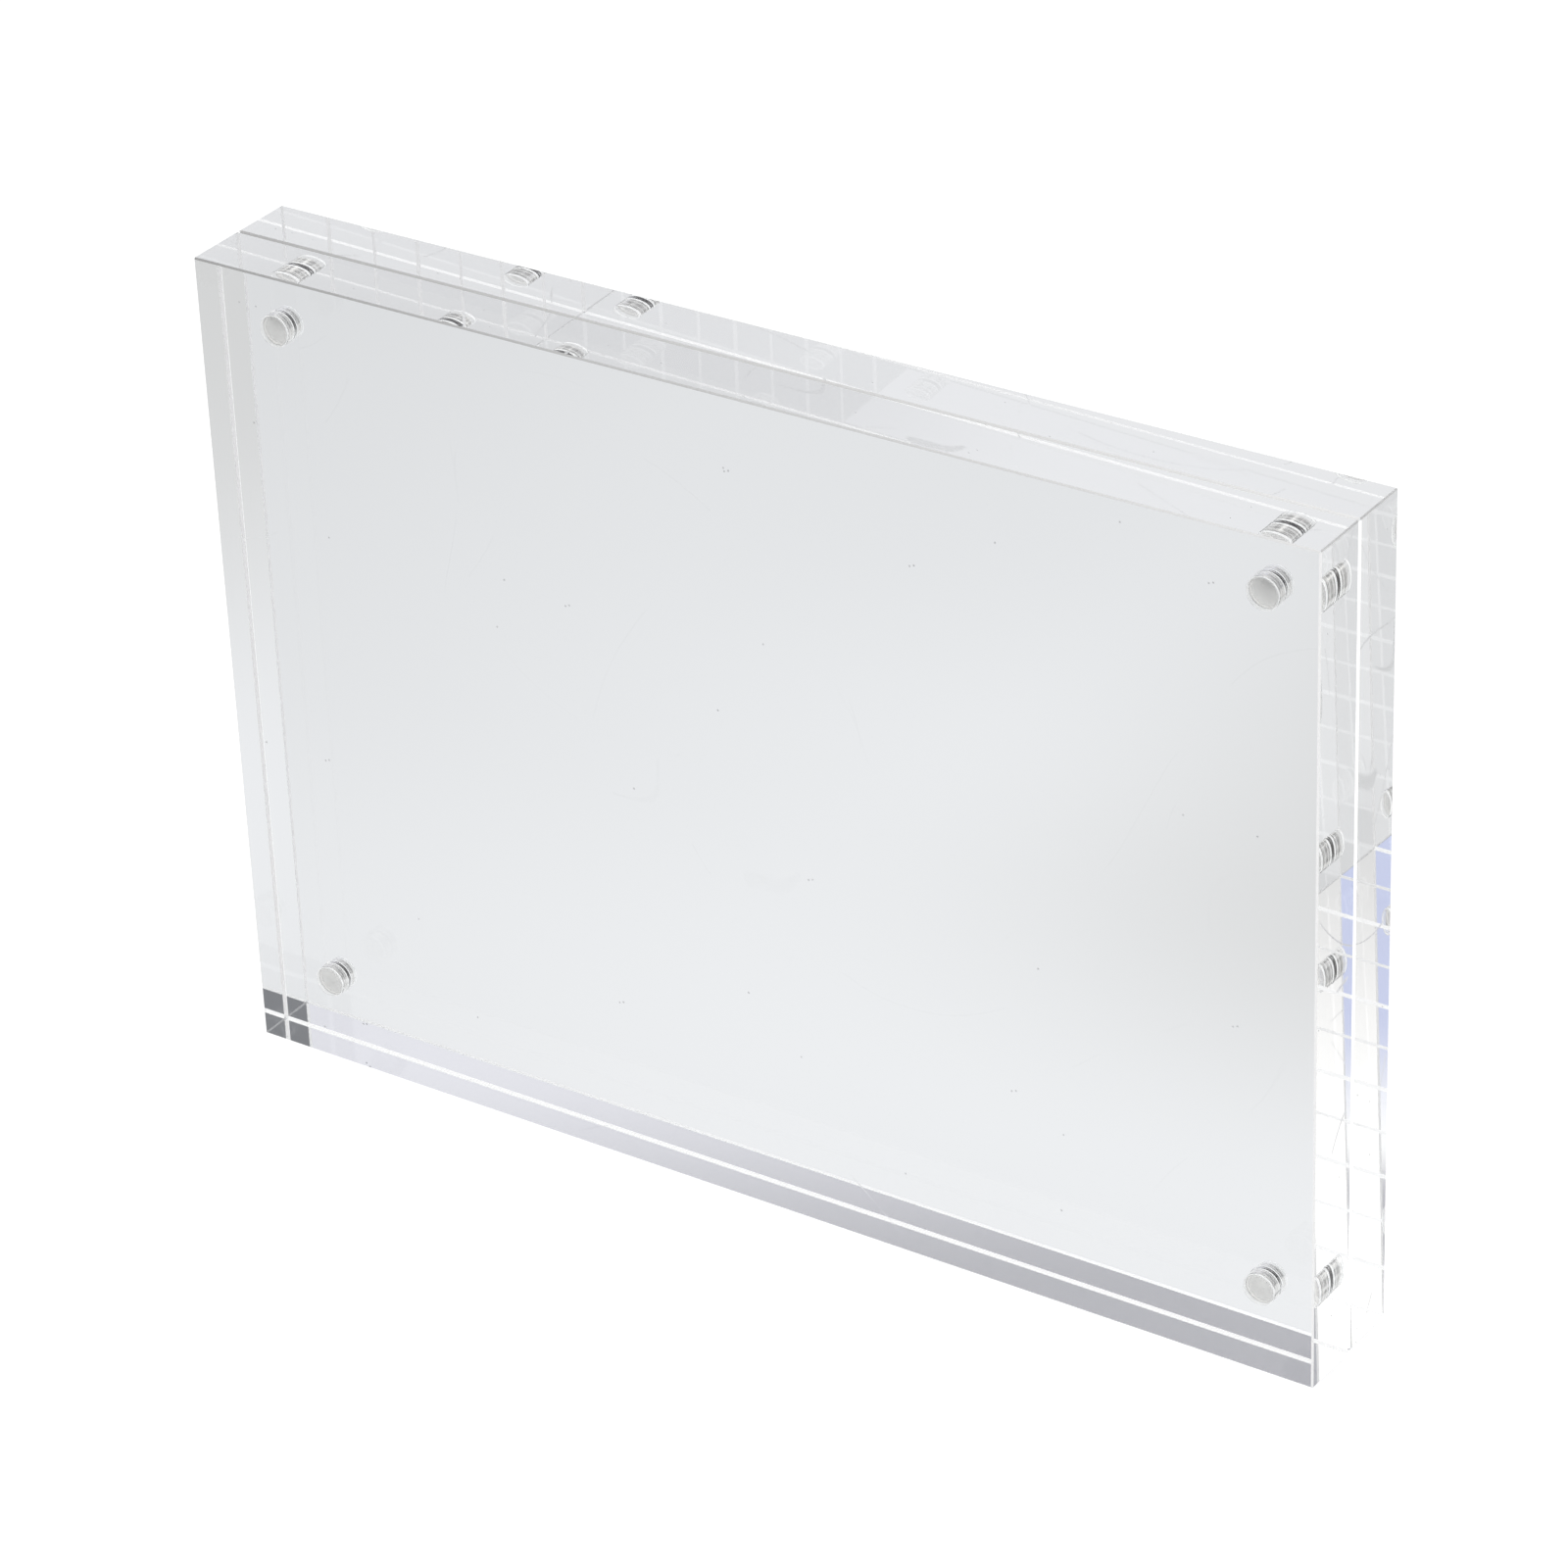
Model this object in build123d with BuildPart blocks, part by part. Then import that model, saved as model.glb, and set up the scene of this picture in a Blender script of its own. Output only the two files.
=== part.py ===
from build123d import *
import os

# A block photo frame, empty: two equal clear blocks stand on their long edges, one in front of the
# other, and four facing pairs of disc magnets in blind pockets hold them shut on a print.
# Millimetres. Origin at the centre of the base, half-way between the blocks.
# +X to the right and +Y to the back, as seen from the front, and +Z up.

os.makedirs("parts", exist_ok=True)

# Blocks
block_width = 178.0  # along X, the long side of the print
block_height = 127.0  # along Z, the short side of the print
block_thickness = 10.0  # of each block, along Y
closing_gap = 0.1  # air left between the two inner faces when the frame is shut
outer_bevel = 0.25  # polished bevel round each outer face
inner_bevel = 0.35  # wider bevel round each inner face, where a fingernail parts the blocks
corner_bevel = 0.2  # along the short edges that join a block's two faces

# Magnets
magnet_diameter = 4.76
magnet_length = 2.38
magnet_edge_radius = 0.25  # rounded by tumbling and plating

# Pockets
pocket_inset = 10.4  # from a block's edges to a pocket's axis
pocket_side_play = 0.05  # between a magnet's side and its pocket's wall
pocket_floor_space = 0.9  # left empty between a magnet's end and its pocket's floor
magnet_recess = 0.1  # from a block's inner face down to the magnet's open end
pocket_mouth_bevel = 0.12  # takes the burr off the milled mouth
pocket_floor_radius = 0.15  # left by the cutter between the pocket's wall and its floor

# Sizes that follow
pocket_radius = magnet_diameter / 2 + pocket_side_play
pocket_depth = magnet_recess + magnet_length + pocket_floor_space
pocket_span_across = block_width - 2 * pocket_inset
pocket_span_up = block_height - 2 * pocket_inset

# Which way each block lies from the plane where the frame parts, along Y
sides = {"front": -1, "back": 1}

# Each corner's place across and up, as seen from the front
corners = {
    "top_left": (-1, 1),
    "top_right": (1, 1),
    "bottom_left": (-1, -1),
    "bottom_right": (1, -1),
}


def inner_plane(side):
    """The plane of a block's inner face: local Y is up and the normal points at the other block."""
    return Plane(
        origin=(0, side * closing_gap / 2, block_height / 2),
        x_dir=(side, 0, 0),
        z_dir=(0, -side, 0),
    )


def faces_outwards(block, side):
    """A block's faces square to Y, from its inner face through the pocket floors to its outer one."""
    return block.faces().filter_by(Axis.Y).sort_by(Axis.Y, reverse=side < 0)


def make_block(name, side):
    """A slab of clear sheet, bevelled all round, with a blind pocket near each corner."""
    with BuildPart() as block:
        with BuildSketch(inner_plane(side)):
            Rectangle(block_width, block_height)
        extrude(amount=-block_thickness)
        chamfer(faces_outwards(block, side)[0].edges(), inner_bevel)
        chamfer(faces_outwards(block, side)[-1].edges(), outer_bevel)
        chamfer(block.edges().filter_by(Axis.Y), corner_bevel)
        with Locations(inner_plane(side)):
            with GridLocations(pocket_span_across, pocket_span_up, 2, 2):
                Hole(pocket_radius, pocket_depth)
        mouths = faces_outwards(block, side)[0].edges().filter_by(GeomType.CIRCLE)
        chamfer(mouths, pocket_mouth_bevel)
        floors = faces_outwards(block, side)[1:-1]
        fillet(floors.edges().filter_by(GeomType.CIRCLE), pocket_floor_radius)
    block.part.label = name
    export_step(block.part, f"parts/{name}.step")


def make_magnet(name, side, across, up):
    """A plated disc magnet, sunk in its pocket with its open end just below the inner face."""
    with BuildPart() as magnet:
        with BuildSketch(inner_plane(side).offset(-magnet_recess)):
            with Locations((side * across * pocket_span_across / 2, up * pocket_span_up / 2)):
                Circle(magnet_diameter / 2)
        extrude(amount=-magnet_length)
        fillet(magnet.edges().filter_by(GeomType.CIRCLE), magnet_edge_radius)
    magnet.part.label = name
    export_step(magnet.part, f"parts/{name}.step")


for half, side in sides.items():
    make_block(f"{half}_block", side)
    for corner, (across, up) in corners.items():
        make_magnet(f"magnet_{half}_{corner}", side, across, up)
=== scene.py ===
# %% [markdown]
# # A clear block frame
#
# This frame holds a print between two thick blocks of clear acrylic. The blocks stand on their long
# edges, one behind the other, and four pairs of small magnets near the corners hold them shut. Here
# the frame is empty, so everything that it shows is light: the pale table seen through the blocks,
# the edges seen over and over in each other, and the bright metal of the magnets.
#
# The shapes come ready made from the CAD model. What is left for Blender is to say how each surface
# meets the light, and to set up a small photo studio round it. Lengths are in metres, +X to the
# right and +Y to the back as seen from the front, and +Z up.

# %% Load the model
import math

import bmesh
import bpy
from mathutils import Matrix, Vector


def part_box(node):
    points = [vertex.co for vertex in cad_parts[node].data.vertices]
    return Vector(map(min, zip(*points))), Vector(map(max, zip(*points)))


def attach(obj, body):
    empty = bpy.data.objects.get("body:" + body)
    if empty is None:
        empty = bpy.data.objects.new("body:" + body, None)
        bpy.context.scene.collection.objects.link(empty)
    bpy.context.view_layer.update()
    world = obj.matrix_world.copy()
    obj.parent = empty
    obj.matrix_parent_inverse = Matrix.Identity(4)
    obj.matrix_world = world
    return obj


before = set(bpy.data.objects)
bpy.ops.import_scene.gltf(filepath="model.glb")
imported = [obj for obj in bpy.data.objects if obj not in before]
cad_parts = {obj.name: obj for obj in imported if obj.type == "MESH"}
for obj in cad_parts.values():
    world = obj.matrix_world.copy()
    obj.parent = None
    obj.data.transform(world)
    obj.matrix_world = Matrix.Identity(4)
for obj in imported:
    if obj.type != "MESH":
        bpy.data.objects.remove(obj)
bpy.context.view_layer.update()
mm = 0.001
print("nodes:", ", ".join(sorted(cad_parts)))

# %% [markdown]
# ## Writing materials as sums
#
# A material in Blender is a graph of nodes, and most nodes in a graph like this one only do sums.
# A small class keeps that readable. It holds one output socket, and when Python adds, multiplies or
# subtracts with it, the matching Math node appears in the graph. The reflected forms are there too,
# so `1 - mask` works with a plain number on the left.

# %% A socket that does sums
class Wire:
    """An output socket of a node graph, or the graph itself when it holds no socket."""

    def __init__(self, graph, socket=None):
        self.graph = graph
        self.socket = socket

    def node(self, kind, settings, sockets, out=0):
        """Adds any node: its type, its settings, then the values or wires of its input sockets."""
        made = self.graph.nodes.new(kind)
        for name, value in settings.items():
            setattr(made, name, value)
        for name, value in sockets.items():
            if isinstance(value, Wire):
                self.graph.links.new(value.socket, made.inputs[name])
            else:
                made.inputs[name].default_value = value
        return Wire(self.graph, made.outputs[out] if made.outputs else None)

    def maths(self, operation, *values):
        return self.node("ShaderNodeMath", {"operation": operation}, dict(enumerate(values)))

    def __add__(self, other):
        return self.maths("ADD", self, other)

    __radd__ = __add__

    def __mul__(self, other):
        return self.maths("MULTIPLY", self, other)

    __rmul__ = __mul__

    def __sub__(self, other):
        return self.maths("SUBTRACT", self, other)

    def __rsub__(self, other):
        return self.maths("SUBTRACT", other, self)

    def __truediv__(self, other):
        return self.maths("DIVIDE", self, other)

    def __rtruediv__(self, other):
        return self.maths("DIVIDE", other, self)

    def __abs__(self):
        return self.maths("ABSOLUTE", self)

    def root(self):
        return self.maths("SQRT", self)

    def wave(self, length):
        """A ripple of that wavelength along this wire's value, from -1 to 1."""
        return self.maths("SINE", self * (2 * math.pi / length))

    def step(self, start, end):
        """0 below start and 1 above end, with a soft ramp between. It runs down if start > end."""
        ramp = {"interpolation_type": "SMOOTHSTEP"}
        if start > end:
            return 1 - self.step(end, start)
        return self.node("ShaderNodeMapRange", ramp, {0: self, 1: start, 2: end})

    def blend(self, a, b):
        """Colour a where this wire is 0, and colour b where it is 1."""
        return self.node("ShaderNodeMix", {"data_type": "RGBA"}, {0: self, 6: a, 7: b}, out=2)

    def parts(self):
        """The X, Y and Z of a place or a direction."""
        return [self.node("ShaderNodeSeparateXYZ", {}, {0: self}, out=axis) for axis in "XYZ"]


def grey(level, tint=(1.0, 1.0, 1.0)):
    """A colour for a socket, from one level and a tint."""
    return tuple(level * t for t in tint) + (1.0,)


def new_graph(owner):
    """Empties a material's or world's node graph and wraps it."""
    owner.use_nodes = True
    owner.node_tree.nodes.clear()
    return Wire(owner.node_tree)


print("a wire has", sum(name.startswith("__r") for name in vars(Wire)), "reflected forms")

# %% [markdown]
# ## The camera
#
# The photograph looks down at the frame's front left from a little above, so the front, the top and
# the right-hand end all show. A camera with a long lens stands about 80 cm away. Its place is given
# as a photographer would: what it aims at, how far off it is, its angle round the object and above
# the table, and a slight tilt to one side.

# %% Camera
aim = Vector((6.8, -10.05, 70.3)) * mm
distance = 805.7 * mm
angle_round = math.radians(34.66)
angle_above = math.radians(29.8)
tilt = math.radians(2.37)

towards_camera = Vector(
    (
        math.sin(angle_round) * math.cos(angle_above),
        -math.cos(angle_round) * math.cos(angle_above),
        math.sin(angle_above),
    )
)
level_right = Vector((math.cos(angle_round), math.sin(angle_round), 0.0))
level_up = towards_camera.cross(level_right)
camera_right = level_right * math.cos(tilt) - level_up * math.sin(tilt)
camera_up = level_up * math.cos(tilt) + level_right * math.sin(tilt)
axes = Matrix((camera_right, camera_up, towards_camera)).transposed()

camera = bpy.data.objects.new("camera", bpy.data.cameras.new("camera"))
camera.matrix_world = Matrix.Translation(aim + towards_camera * distance) @ axes.to_4x4()
camera.data.sensor_width = 36.0
camera.data.lens = 136.67
bpy.context.scene.collection.objects.link(camera)
bpy.context.scene.camera = camera
print("camera at", [round(c / mm, 1) for c in camera.matrix_world.translation])

# %% [markdown]
# ## The table
#
# A plain pale sheet. It lies a fifth of a millimetre under the blocks, because two hard surfaces
# only touch at a few points and the rest is air. That film of air matters: without it the bottom
# edge of a clear block stops working as a mirror.
#
# The camera sees the sheet as white, as in a studio cut-out, but shadows on it stay. Clear blocks
# and metal see it nearly as bright, with paler and darker zones as on any lit table. For them the
# sheet only glows and isn't lit. That gives the same tone without grain, which would be repeated in
# every mirror image.

# %% Table sheet
air_under = 0.2 * mm
table_half = 2.5

corners = [(-table_half, -table_half), (table_half, -table_half)]
corners += [(table_half, table_half), (-table_half, table_half)]
table_mesh = bpy.data.meshes.new("table")
table_mesh.from_pydata([(x, y, -air_under) for x, y in corners], [], [(0, 1, 2, 3)])
table = bpy.data.objects.new("table", table_mesh)
bpy.context.scene.collection.objects.link(table)
print("table", 2 * table_half, "m square,", air_under / mm, "mm under the blocks")

# %% Zones of the table
# Each mask is 1 in its zone. The steps are places in metres, and the factors are shares of white.
table_paper = bpy.data.materials.new("table_paper")
g = new_graph(table_paper)
place = g.node("ShaderNodeTexCoord", {}, {}, out="Object")
across, behind, _ = place.parts()

far_left = across.step(0.01, -0.29)
far_right = across.step(-0.05, 0.05) * behind.step(0.03, 0.12)
less_light = far_left * 0.13 + far_right * 0.18

# The frame keeps some light off the table under and close to it.
left_part = across.step(0.0, -0.05)
under_front_left = behind.step(0.0005, -0.0005) * behind.step(-0.012, -0.009) * left_part
underneath = abs(behind).step(0.012, 0.009) * 0.015 + under_front_left * 0.08

# In front it is brighter near the frame and falls off further out, where the camera stands.
near_front = behind.step(-0.012, -0.03) * 0.06
far_front = behind.step(-0.18, -0.4) * 0.4
camera_shade = behind.step(-0.12, -0.2) * across.step(-0.16, -0.06) * 0.26
near_back = behind.step(0.1, 0.04) * 0.02

plain_level = 0.865
level = plain_level - less_light - underneath + near_front - far_front + near_back - camera_shade
print("table zones:", len(g.graph.nodes), "nodes")

# %% Table paper
is_camera = g.node("ShaderNodeLightPath", {}, {}, out="Is Camera Ray")
is_glossy = g.node("ShaderNodeLightPath", {}, {}, out="Is Glossy Ray")
is_through = g.node("ShaderNodeLightPath", {}, {}, out="Is Transmission Ray")
in_clear = is_glossy.maths("MAXIMUM", is_glossy, is_through)
tint = far_right.blend(grey(1.0, (0.992, 1.0, 1.01)), grey(1.0, (1.0, 1.0, 0.99)))
glow = is_camera * 0.25 + in_clear * level * 0.975
fibres = g.node("ShaderNodeTexNoise", {}, {"Vector": place, "Scale": 900.0, "Detail": 3.0})
paper = g.node(
    "ShaderNodeBsdfPrincipled",
    {},
    {
        "Base Color": in_clear.blend(grey(0.85), grey(0.0)),
        "Roughness": 0.9,
        "Specular IOR Level": 0.0,
        "Emission Color": glow.blend(grey(0.0), tint),
        "Emission Strength": 1.0,
        "Normal": g.node(
            "ShaderNodeBump", {}, {"Strength": 0.2, "Distance": 0.02 * mm, "Height": fibres}
        ),
    },
)
g.node("ShaderNodeOutputMaterial", {}, {"Surface": paper})
table_mesh.materials.append(table_paper)
print("table graph:", len(g.graph.nodes), "nodes")

# %% [markdown]
# ## The studio
#
# Clear blocks have no colour of their own, so the picture is made by what stands round them. Here
# that is a pale room: a big soft box to the front left, a bright wall behind to the left that dims
# higher up and has a low window in it, and an open, unlit corner behind to the right. The window is
# what colours the mirror images in the frame's right-hand end blue.
#
# The room is written into the world as a function of direction, so it never gets in the way of a
# camera. Only mirrors and clear things see it. The camera sees white, and matt surfaces are lit by
# an even white sky, with an area lamp in the place of the soft box for a soft shadow. The lamp
# itself is hidden from mirrors and clear things, because the room already has its picture.

# %% Studio room
# The steps are parts of a direction of length 1, so 0.5 upwards is 30 degrees above the table.
world = bpy.data.worlds.new("studio")
bpy.context.scene.world = world
world.cycles.sampling_method = "NONE"
g = new_graph(world)
direction = g.node("ShaderNodeTexCoord", {}, {}, out="Generated")
to_right, to_back, upwards = direction.parts()

low_left_wall = grey(0.765, (0.98, 0.98, 1.05))
low_mid_wall = grey(0.62, (1.0, 0.98, 1.05))
high_wall = grey(0.36, (0.98, 0.98, 1.08))
low_wall = to_right.step(-0.45, -0.41).blend(low_left_wall, low_mid_wall)
wall = upwards.step(0.531, 0.571).blend(low_wall, high_wall)

# The window is a little taller on its right, where its upper part is plain white.
blue_sky = grey(0.67, (0.92, 1.0, 1.38))
window_light = upwards.step(0.53, 0.55).blend(blue_sky, grey(1.1))
below_top = (upwards - to_right.step(-0.43, -0.41) * 0.03).step(0.527, 0.518)
between_sides = to_right.step(-0.45, -0.43) * to_right.step(-0.36, -0.38)
window = below_top * between_sides * upwards.step(0.49, 0.5)
wall = window.blend(wall, window_light)
print("wall and window:", len(g.graph.nodes), "nodes")

# %% Studio sides and sky
right_half = to_right.step(-0.1, 0.3)
dark_corner = grey(0.18, (0.97, 1.0, 1.08))
back_side = right_half.blend(wall, dark_corner)

low_front = upwards.step(0.25, 0.42).blend(grey(0.32), grey(0.7))
box_picture = upwards.step(0.49, 0.56).blend(low_front, grey(1.3, (1.0, 0.99, 0.97)))
front_side = right_half.blend(box_picture, grey(0.3))

room = to_back.step(0.1, -0.1).blend(back_side, front_side)
room = upwards.step(0.8, 0.9).blend(room, grey(0.9))
is_camera = g.node("ShaderNodeLightPath", {}, {}, out="Is Camera Ray")
for_matt = g.node("ShaderNodeLightPath", {}, {}, out="Diffuse Depth").step(0.4, 0.6)
colour = for_matt.blend(room, grey(0.97))
colour = is_camera.blend(colour, grey(1.0))
sky = g.node("ShaderNodeBackground", {}, {"Color": colour, "Strength": 1.0})
g.node("ShaderNodeOutputWorld", {}, {"Surface": sky})
print("studio graph:", len(g.graph.nodes), "nodes")

# %% Soft box
box_width, box_height = 0.5, 0.4
box_level = 1.6  # how bright its face is, where white paper in this studio is about 1
box_place = Vector((-0.4, -0.7, 0.55)).normalized() * 1.1
box_aim = Vector((0.0, 0.0, 0.06))

lamp = bpy.data.lights.new("soft_box", "AREA")
lamp.shape = "RECTANGLE"
lamp.size, lamp.size_y = box_width, box_height
lamp.energy = box_level * math.pi * box_width * box_height
soft_box = bpy.data.objects.new("soft_box", lamp)
soft_box.location = box_place
soft_box.rotation_mode = "QUATERNION"
soft_box.rotation_quaternion = (box_aim - box_place).to_track_quat("-Z", "Y")
soft_box.visible_camera = False
soft_box.visible_glossy = False
soft_box.visible_transmission = False
bpy.context.scene.collection.objects.link(soft_box)
print("soft box:", round(lamp.energy, 2), "W")

# %% [markdown]
# ## Light inside the blocks
#
# Light in a clear block bounces from face to face many times before it finds a way out, and each
# bounce counts. Blender stops after a few unless it is told otherwise, and the inside of the block
# turns black. So the limits go up. It also blurs what is seen after a rough bounce, to calm the
# noise. Here that would smear the mirror images, so it is switched off.

# %% Bounces
cycles = bpy.context.scene.cycles
inner_bounces = 40
cycles.max_bounces = inner_bounces
cycles.glossy_bounces = inner_bounces
cycles.transmission_bounces = inner_bounces
cycles.transparent_max_bounces = 16
cycles.blur_glossy = 0.0
bpy.context.scene.view_settings.view_transform = "Standard"
print("bounces:", cycles.max_bounces)

# %% [markdown]
# ## Clear acrylic
#
# Cast acrylic sheet bends light by 1.49, lets nearly all of it through and is as smooth as glass.
# What makes it look real is where it isn't perfect. The pockets for the magnets are milled, and the
# cutter leaves rings in them, but the glue wets the walls, so only a trace of the frosting is left.
# The four edges are cut and polished, so they keep a trace of the wheel. The big faces carry a few
# hairline scratches and specks.
#
# Every mask is worked out from the place on the block. The pocket axes are read from the magnets.

# %% Where the pockets are
magnet_low, magnet_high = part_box("magnet_back_top_right")
block_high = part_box("back_block")[1]
pocket_x = (magnet_low.x + magnet_high.x) / 2
pocket_z = (magnet_low.z + magnet_high.z) / 2 - block_high.z / 2
middle_z = block_high.z / 2
magnet_radius = (magnet_high.x - magnet_low.x) / 2
pocket_radius = magnet_radius + 0.05 * mm
floor_depth = 3.43 * mm
print("pocket axes in mm:", round(pocket_x / mm, 2), "across and", round(pocket_z / mm, 2), "up")

# %% Pockets and bevels on the acrylic
acrylic = bpy.data.materials.new("polished_acrylic")
g = new_graph(acrylic)
place = g.node("ShaderNodeTexCoord", {}, {}, out="Object")
x, y, z = place.parts()
off_x = abs(x) - pocket_x
off_z = abs(z - middle_z) - pocket_z
from_axis = (off_x * off_x + off_z * off_z).root()
reach = pocket_radius + 0.04 * mm
in_pocket = from_axis.step(reach, reach - 0.01 * mm)
in_pocket = in_pocket * abs(y).step(floor_depth + 0.1 * mm, floor_depth + 0.05 * mm)
pocket_floor = in_pocket * abs(y).step(floor_depth - 0.15 * mm, floor_depth - 0.08 * mm)
pocket_wall = in_pocket - pocket_floor

# A bevel is where the surface faces along none of the three axes.
facing = g.node("ShaderNodeTexCoord", {}, {}, out="Normal")
facing = g.node("ShaderNodeVectorMath", {"operation": "ABSOLUTE"}, {0: facing})
face_x, face_y, face_z = facing.parts()
squareness = g.maths("MAXIMUM", face_x, g.maths("MAXIMUM", face_y, face_z))
bevel = squareness.step(0.95, 0.9) * (1 - in_pocket)

cutter_rings = from_axis.wave(0.22 * mm)
wall_rings = y.wave(0.35 * mm)
grain = g.node("ShaderNodeTexNoise", {}, {"Vector": place, "Scale": 4000.0, "Detail": 3.0})
cutter_marks = pocket_floor * cutter_rings + pocket_wall * wall_rings + grain * in_pocket
print("pocket and bevel masks:", len(g.graph.nodes), "nodes")

# %% Wear on the acrylic
# Hairlines: thin bent lines where a slow noise passes through one half, kept only here and there.
on_face = face_y.step(0.9, 0.98) * (1 - in_pocket)
bends = g.node("ShaderNodeTexNoise", {}, {"Vector": place, "Scale": 10.0, "Detail": 1.0})
patches = g.node("ShaderNodeTexNoise", {}, {"Vector": place, "Scale": 70.0, "Detail": 0.0})
hairline = abs(bends - 0.5).step(0.0008, 0.0003) * patches.step(0.58, 0.62) * on_face

# Specks of dust and tiny pits: a round dot near one point of each cell of a coarse net. The net
# leans with depth, so the four big faces don't carry the same dots.
net = g.node("ShaderNodeCombineXYZ", {}, {0: x + y * 7.3, 1: z + y * 3.1})
cells = {"voronoi_dimensions": "2D", "feature": "F1"}
near_dot = g.node("ShaderNodeTexVoronoi", cells, {"Vector": net, "Scale": 22.0}, out="Distance")
speck = near_dot.step(0.0042, 0.0026) * on_face

# The cut edges keep fine lines along their length, left by the polishing wheel.
on_edge = face_y.step(0.3, 0.1) * (1 - in_pocket)
stretched = {"Vector": place, "Scale": (6, 2600, 6)}
wheel = g.node("ShaderNodeMapping", {"vector_type": "POINT"}, stretched)
wheel_lines = g.node("ShaderNodeTexNoise", {}, {"Vector": wheel, "Scale": 1.0, "Detail": 1.0})
print("with wear:", len(g.graph.nodes), "nodes")

# %% Acrylic
# The marks are heights, as shares of a fiftieth of a millimetre.
marks = cutter_marks * 0.04
marks = marks + on_edge * wheel_lines * 0.003 + hairline * 0.1 + speck * 0.5
relief = g.node("ShaderNodeBump", {}, {"Strength": 0.5, "Distance": 0.02 * mm, "Height": marks})
clear = g.node(
    "ShaderNodeBsdfPrincipled",
    {},
    {
        "Base Color": (speck * 0.75).blend(grey(1.0, (0.99, 0.995, 1.0)), grey(0.3)),
        "Roughness": in_pocket * 0.02 + bevel * 0.3 + hairline * 0.25 + speck * 0.5,
        "IOR": 1.49,
        "Transmission Weight": 1.0,
        "Normal": relief,
    },
)
g.node("ShaderNodeOutputMaterial", {}, {"Surface": clear})
for name in ("front_block", "back_block"):
    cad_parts[name].material_slots[0].material = acrylic
print("acrylic graph:", len(g.graph.nodes), "nodes")

# %% [markdown]
# ## Glue and milled skin
#
# A magnet is set in its pocket with a drop of clear glue, which fills the space behind it and
# round it. Glue and acrylic bend light alike, so where they meet the surface all but vanishes: at
# its lower left, the end of a pocket fades into the table behind. Two clear solids that touch are
# hard to tell a path tracer about. The trick is to let them overlap by a hair: light enters the
# glue first and leaves the acrylic next, one bend undoes the other, and it goes straight on.
#
# What stays visible is the skin that the cutter left, a torn white layer on the wall and floor. It
# is thickest in rings: near the mouth, where the tool went in, and in the corner of the floor. The
# narrow gap where the pockets of the two blocks meet lies in the shade, and a dark ring at each
# mouth stands for it. The skin is a thin cup of its own. Both shapes are one line, turned round the
# pocket's axis.

# %% Turned shapes
def turned(name, profile, sides=56):
    """Turns a line of (radius, depth) points round +Y. A point on the axis closes the shape."""
    made = bmesh.new()
    rows = []
    for radius, depth in profile:
        count = sides if radius > 0 else 1
        turns = [2 * math.pi * k / sides for k in range(count)]
        rows.append(
            [made.verts.new((radius * math.cos(t), depth, radius * math.sin(t))) for t in turns]
        )
    for one, two in zip(rows, rows[1:]):
        for k in range(sides):
            here, there = k, k + 1
            ring = [one[here % len(one)], one[there % len(one)]]
            ring += [two[there % len(two)], two[here % len(two)]]
            made.faces.new(list(dict.fromkeys(ring)))
    bmesh.ops.recalc_face_normals(made, faces=made.faces)
    mesh = bpy.data.meshes.new(name)
    made.to_mesh(mesh)
    made.free()
    mesh.shade_smooth()
    return mesh


def pocket_line(radius, start, floor, corner):
    """A pocket's wall from one depth down, the rounded corner, and the floor as far as the axis."""
    line = [(radius, start + (floor - corner - start) * t / 8) for t in range(8)]
    for k in range(7):
        a = math.radians(90 * k / 6)
        line.append((radius - corner + corner * math.cos(a), floor - corner + corner * math.sin(a)))
    return line + [((radius - corner) * (1 - k / 8), floor) for k in range(1, 8)] + [(0.0, floor)]


hair = 0.012 * mm
floor_corner = 0.15 * mm
skin_start, glue_start = 0.17 * mm, 0.2 * mm
skin_line = pocket_line(pocket_radius - hair, skin_start, floor_depth - hair, floor_corner)
skin_mesh = turned("skin", skin_line)
glue_line = pocket_line(pocket_radius + hair, glue_start, floor_depth + hair, floor_corner)
glue_mesh = turned("glue", [(0.0, glue_start)] + glue_line)
glue_mesh.set_sharp_from_angle(angle=math.radians(40))
print("skin:", len(skin_mesh.polygons), "faces, glue:", len(glue_mesh.polygons))

# %% Rings of the skin
skin = bpy.data.materials.new("milled_skin")
g = new_graph(skin)
place = g.node("ShaderNodeTexCoord", {}, {}, out="Object")
x, y, z = place.parts()
from_axis = (x * x + z * z).root()
torn = g.node("ShaderNodeTexNoise", {}, {"Vector": place, "Scale": 5000.0, "Detail": 4.0})
on_floor = y.step(floor_depth - 0.08 * mm, floor_depth - 0.03 * mm)


def ring(start, end):
    """A band round the wall between two depths, with soft edges."""
    soft = 0.04 * mm
    return y.step(start - soft, start + soft) * y.step(end + soft, end - soft)


dark_mouth = y.step(0.46 * mm, 0.38 * mm)
mouth_ring = ring(0.46 * mm, 0.82 * mm)
fine_rings = ring(1.2 * mm, 1.45 * mm) * 0.3 + ring(2.1 * mm, 2.35 * mm) * 0.25
corner_ring = y.step(floor_depth - 0.55 * mm, floor_depth - 0.4 * mm)
thick_rings = dark_mouth * 0.75 + mouth_ring * 0.75 + corner_ring * 0.75
wall_cover = 0.15 + thick_rings + fine_rings + y.wave(0.36 * mm) * 0.06

floor_rim = from_axis.step(pocket_radius - 0.3 * mm, pocket_radius - 0.16 * mm)
floor_cover = 0.16 + floor_rim * 0.3 + from_axis.wave(0.3 * mm) * 0.03
skin_cover = on_floor * floor_cover + (1 - on_floor) * wall_cover
passes = on_floor * from_axis.wave(0.25 * mm) + (1 - on_floor) * y.wave(0.3 * mm)
print("rings of the skin:", len(g.graph.nodes), "nodes")

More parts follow.
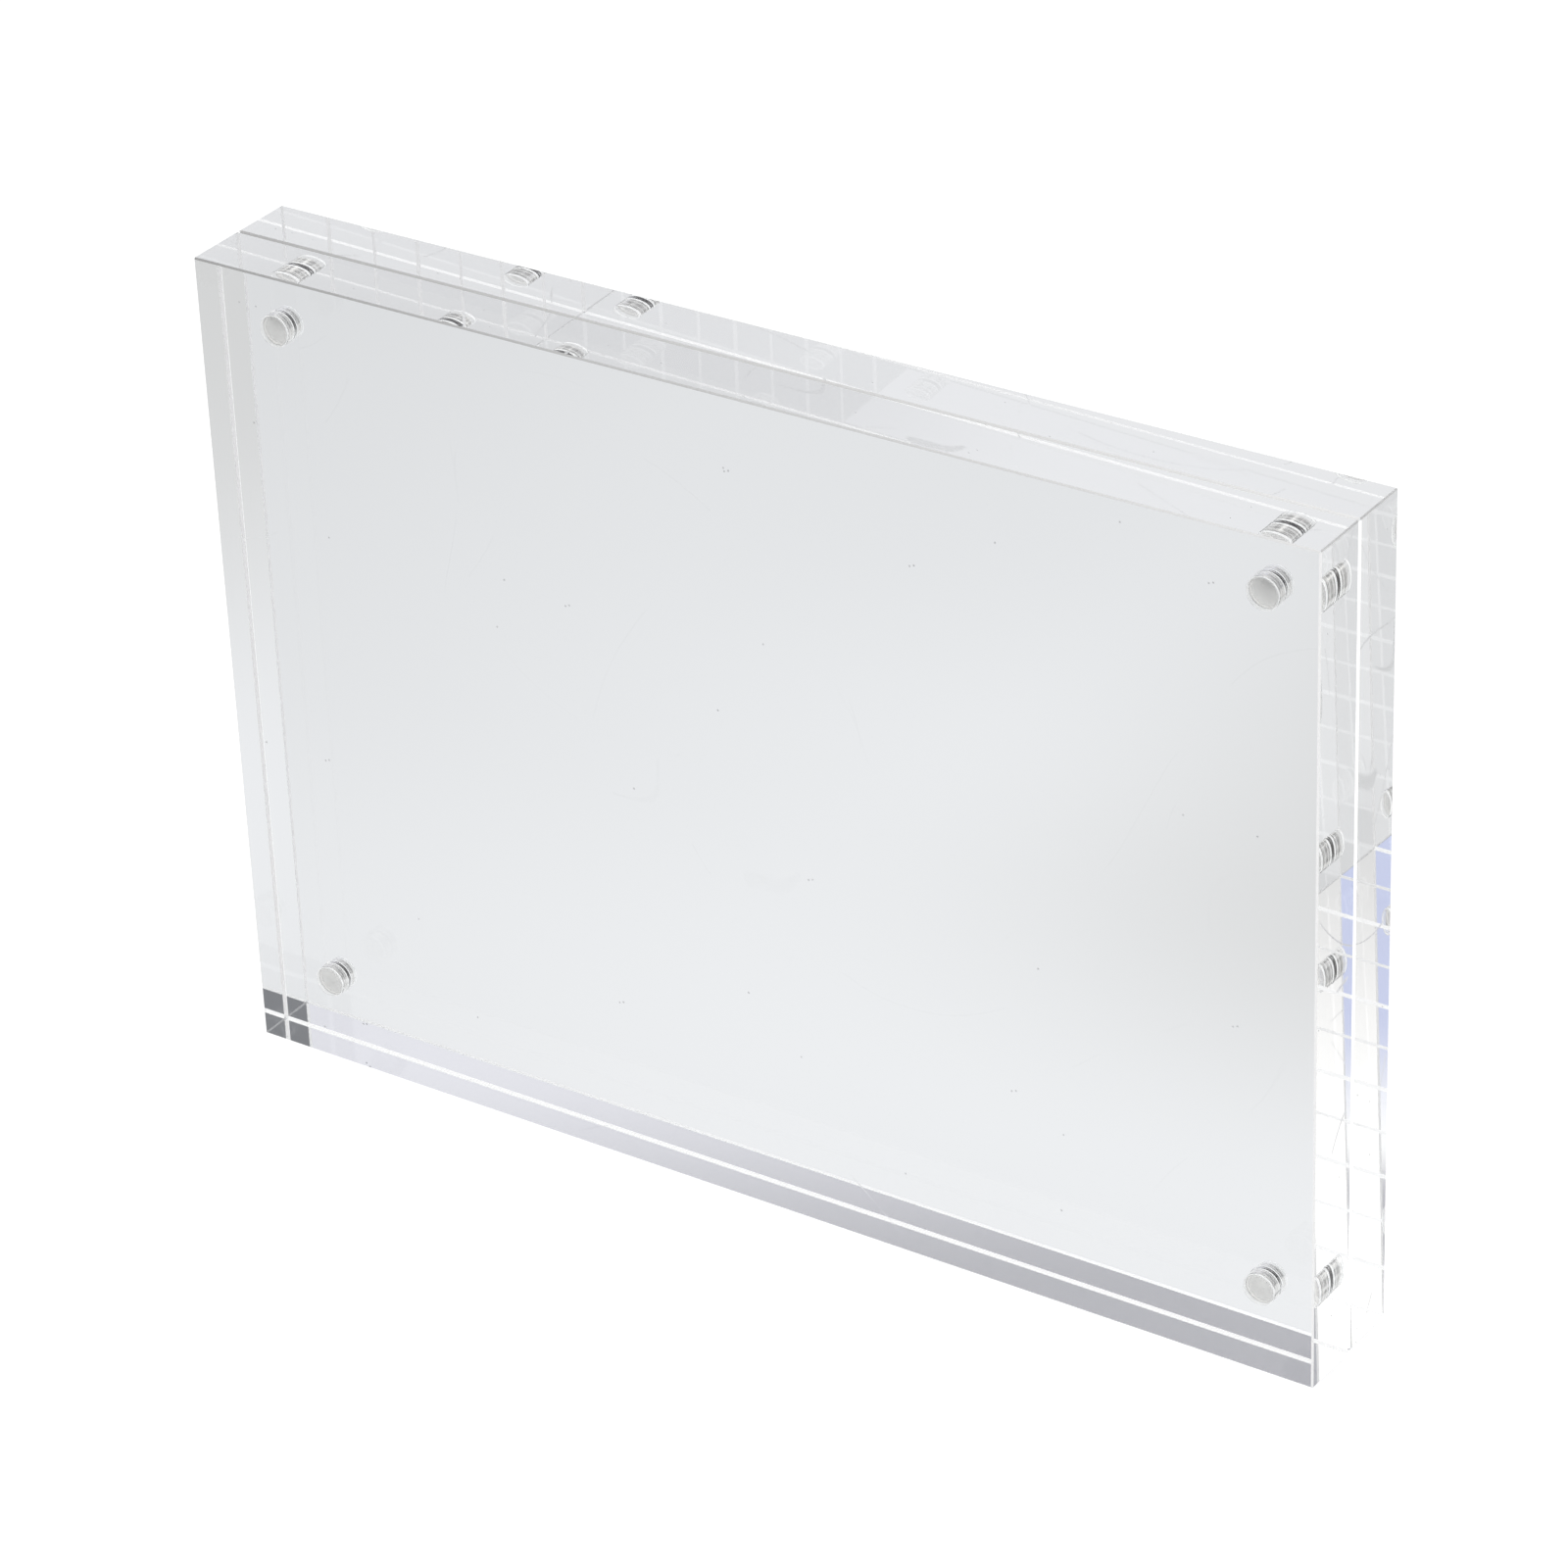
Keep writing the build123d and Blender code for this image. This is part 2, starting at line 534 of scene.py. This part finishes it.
# %% Skin finish
# A faint glow stands for light that is caught in the block, which a path tracer gives up on.
trapped = 0.36 * (1 - dark_mouth) * (1 - on_floor * 0.6)
ridges = {"Strength": 0.6, "Distance": 0.02 * mm, "Height": passes + torn}
milled = g.node(
    "ShaderNodeBsdfPrincipled",
    {},
    {
        "Base Color": dark_mouth.blend(grey(0.92, (0.99, 1.0, 1.0)), grey(0.03)),
        "Roughness": 0.55,
        "Emission Color": trapped.blend(grey(0.0), grey(1.0)),
        "Emission Strength": 1.0,
        "Alpha": skin_cover + torn * 0.06,
        "Normal": g.node("ShaderNodeBump", {}, ridges),
    },
)
g.node("ShaderNodeOutputMaterial", {}, {"Surface": milled})
skin_mesh.materials.append(skin)
print("skin graph:", len(g.graph.nodes), "nodes")

# %% Glue finish
glue = bpy.data.materials.new("clear_glue")
g = new_graph(glue)
place = g.node("ShaderNodeTexCoord", {}, {}, out="Object")
swirl = g.node("ShaderNodeTexNoise", {}, {"Vector": place, "Scale": 700.0, "Detail": 2.0})
flow = g.node("ShaderNodeBump", {}, {"Strength": 0.05, "Distance": 0.02 * mm, "Height": swirl})
set_glue = g.node(
    "ShaderNodeBsdfPrincipled",
    {},
    {
        "Base Color": swirl.blend(grey(1.0, (0.99, 0.985, 0.97)), grey(1.0)),
        "Roughness": 0.01,
        "IOR": 1.49,
        "Transmission Weight": 1.0,
        "Normal": flow,
    },
)
g.node("ShaderNodeOutputMaterial", {}, {"Surface": set_glue})
glue_mesh.materials.append(glue)
print("glue graph:", len(g.graph.nodes), "nodes")

# %% One of each in every pocket
for kind, mesh in (("milled_skin", skin_mesh), ("clear_glue", glue_mesh)):
    for body, turn in (("front", math.pi), ("back", 0.0)):
        for up, z_sign in (("top", 1), ("bottom", -1)):
            for hand, x_sign in (("left", -1), ("right", 1)):
                piece = bpy.data.objects.new(f"{kind}_{body}_{up}_{hand}", mesh)
                spot = Vector((x_sign * pocket_x, 0.0, middle_z + z_sign * pocket_z))
                piece.matrix_world = Matrix.Translation(spot) @ Matrix.Rotation(turn, 4, "Z")
                bpy.context.scene.collection.objects.link(piece)
                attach(piece, body)

# %% [markdown]
# ## Ground edges
#
# Fresh edges on acrylic are sharp enough to cut, so each one is taken off with a fine file or a
# scraper. The bevel that this leaves is matt and shows as a thin white line, from outside and, over
# and over, in the mirrors inside the block. As in the pockets, the white is a layer of its own: two
# narrow strips for each bevel, one just over it for light from outside and one just under it for
# light from inside. Round the inner faces they are nearly solid, because that wider bevel is ground
# to let a fingernail in. The others are only broken with a scraper, so they are greyer and thinner,
# and the four short ones at the corners are hardly touched.
#
# No two edges look alike. Two numbers at each corner of a strip tell the material its look: its
# cover, and its whiteness, which may change from one end of the edge to the other. Light that is
# caught in a block comes out only here, which makes such edges glow a little. The strips carry a
# faint painted glow that stands for it, and the whiter a strip, the more it glows.

# %% How each edge looks, and how much it glows
# For each kind of edge, and for the ones that differ by where they lie, first the strip over the
# bevel and then the one under it: its cover, and its whiteness at the left or lower end and at the
# right or upper end. The whiteness also sets the strength of the painted glow.
looks = {
    "inner": ((0.95, 0.97, 0.97), (1.0, 0.94, 0.94)),
    "inner top": ((0.9, 0.36, 0.67), (0.9, 0.8, 0.8)),
    "inner left": ((0.95, 0.97, 0.97), (0.95, 0.74, 0.74)),
    "outer": ((0.8, 0.74, 0.74), (0.85, 0.88, 0.88)),
    "outer top": ((0.85, 0.3, 0.67), (0.9, 0.32, 0.53)),
    "outer bottom": ((0.95, 1.0, 1.0), (0.95, 0.76, 1.0)),
    "outer left": ((0.8, 0.74, 0.74), (0.95, 0.74, 0.74)),
    "corner": ((0.8, 0.74, 0.74), (0.1, 0.8, 0.8)),
    "corner top": ((0.6, 0.6, 0.6), (0.6, 0.35, 0.35)),
}
strip_depths = (-0.006 * mm, 0.012 * mm)  # over the bevel, and under it
bevel_legs = {"inner": 0.35 * mm, "outer": 0.25 * mm, "corner": 0.2 * mm}
print("looks of edges:", len(looks))

# %% Edge strips
def edge_kind(ends, inner_end):
    """An edge's kind and its place on the block. ends gives, for two axes, the low or high side."""
    kind = "corner"
    if 1 in ends:
        kind = "inner" if ends[1] == inner_end else "outer"
    if 2 in ends:
        return kind, ("bottom", "top")[ends[2]]
    return kind, ("left", "right")[ends[0]]


def ground_edges(name, low, high, inner_end):
    """One mesh with two strips for each of a block's twelve bevels."""
    sides = (low, high)
    spots, faces, cover, whiteness_and_glow = [], [], [], []
    pairs = ((0, 1), (1, 2), (0, 2))
    for a, b, end_a, end_b in [(*pair, i, j) for pair in pairs for i in (0, 1) for j in (0, 1)]:
        along = 3 - a - b
        kind, where = edge_kind({a: end_a, b: end_b}, inner_end)
        leg = bevel_legs[kind]
        strips = looks.get(f"{kind} {where}", looks[kind])
        for depth, (strip_cover, *strip_white_and_glow) in zip(strip_depths, strips):
            first = len(spots)
            for shift_a, shift_b in ((0.0, leg), (leg, 0.0)):
                for end in (0, 1):
                    spot = [0.0, 0.0, 0.0]
                    for axis, side, shift in ((a, end_a, shift_a), (b, end_b, shift_b)):
                        inwards = max(0.0, shift + depth / math.sqrt(2))
                        spot[axis] = sides[side][axis] + (1 - 2 * side) * inwards
                    spot[along] = sides[end][along] + (1 - 2 * end) * leg
                    spots.append(spot)
                    cover.append(strip_cover)
                    whiteness_and_glow.append(strip_white_and_glow[end])
            faces.append((first, first + 1, first + 3, first + 2))
    mesh = bpy.data.meshes.new(name)
    mesh.from_pydata(spots, [], faces)
    mesh.attributes.new("cover", "FLOAT", "POINT").data.foreach_set("value", cover)
    mesh.attributes.new("whiteness_and_glow", "FLOAT", "POINT").data.foreach_set("value", whiteness_and_glow)
    return mesh


print("for example:", *edge_kind({0: 0, 1: 1}, inner_end=1), "edge")

# %% Ground finish
ground = bpy.data.materials.new("ground_edge")
g = new_graph(ground)
place = g.node("ShaderNodeTexCoord", {}, {}, out="Object")
cover = g.node("ShaderNodeAttribute", {"attribute_name": "cover"}, {}, out="Fac")
whiteness_and_glow = g.node("ShaderNodeAttribute", {"attribute_name": "whiteness_and_glow"}, {}, out="Fac")
file_marks = g.node("ShaderNodeTexNoise", {}, {"Vector": place, "Scale": 2500.0, "Detail": 4.0})
scratched = {"Strength": 0.2, "Distance": 0.02 * mm, "Height": file_marks}
matt = g.node(
    "ShaderNodeBsdfPrincipled",
    {},
    {
        "Base Color": (whiteness_and_glow + file_marks * 0.04 - 0.02).blend(grey(0.0), grey(1.0)),
        "Roughness": 0.7,
        "Alpha": cover + file_marks.step(0.3, 0.7) * 0.04 - 0.02,
        # Painted glow: it stands for light caught in the block, and it is stronger on whiter
        # strips.
        "Emission Color": (whiteness_and_glow * 0.26).blend(grey(0.0), grey(1.0)),
        "Emission Strength": 1.0,
        "Normal": g.node("ShaderNodeBump", {}, scratched),
    },
)
g.node("ShaderNodeOutputMaterial", {}, {"Surface": matt})
print("ground graph:", len(g.graph.nodes), "nodes")

# %% Ground edges on both blocks
for body, inner_end in (("front", 1), ("back", 0)):
    low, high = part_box(f"{body}_block")
    mesh = ground_edges(f"edges_{body}", low, high, inner_end)
    mesh.materials.append(ground)
    edges = bpy.data.objects.new(f"ground_edges_{body}", mesh)
    bpy.context.scene.collection.objects.link(edges)
    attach(edges, body)
    print(edges.name, len(edges.data.polygons), "strips")

# %% [markdown]
# ## Nickel plating
#
# Magnets of this kind rust, so they are plated with nickel. The plating is bright but not a mirror:
# the discs are tumbled in a drum, which rounds their rims and leaves the metal faintly hammered and
# scuffed. Their ends aren't quite flat either. A bump that is highest on the axis gives them a low
# crown, and each disc shades off from one side to the other.

# %% Nickel
nickel = bpy.data.materials.new("nickel_plating")
g = new_graph(nickel)
place = g.node("ShaderNodeTexCoord", {}, {}, out="Object")
x, _, z = place.parts()
off_x = abs(x) - pocket_x
off_z = abs(z - middle_z) - pocket_z
towards_rim = (off_x * off_x + off_z * off_z) / magnet_radius**2
crown = g.node("ShaderNodeBump", {}, {"Distance": 0.12 * mm, "Height": 1 - towards_rim})

dents = g.node("ShaderNodeTexNoise", {}, {"Vector": place, "Scale": 1400.0, "Detail": 2.0})
scuffs = g.node("ShaderNodeTexNoise", {}, {"Vector": place, "Scale": 6000.0, "Detail": 3.0})
hammered = {"Strength": 0.25, "Distance": 0.05 * mm, "Height": dents + scuffs * 0.2}
warm = (1.0, 0.985, 0.96)
metal = g.node(
    "ShaderNodeBsdfPrincipled",
    {},
    {
        "Base Color": scuffs.step(0.35, 0.7).blend(grey(0.76, warm), grey(0.66, warm)),
        "Metallic": 1.0,
        "Roughness": 0.05 + scuffs * 0.1,
        "Normal": g.node("ShaderNodeBump", {}, {**hammered, "Normal": crown}),
    },
)
g.node("ShaderNodeOutputMaterial", {}, {"Surface": metal})
for name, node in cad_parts.items():
    if name.startswith("magnet_"):
        node.material_slots[0].material = nickel
print("nickel graph:", len(g.graph.nodes), "nodes")

# %% [markdown] ## Finish
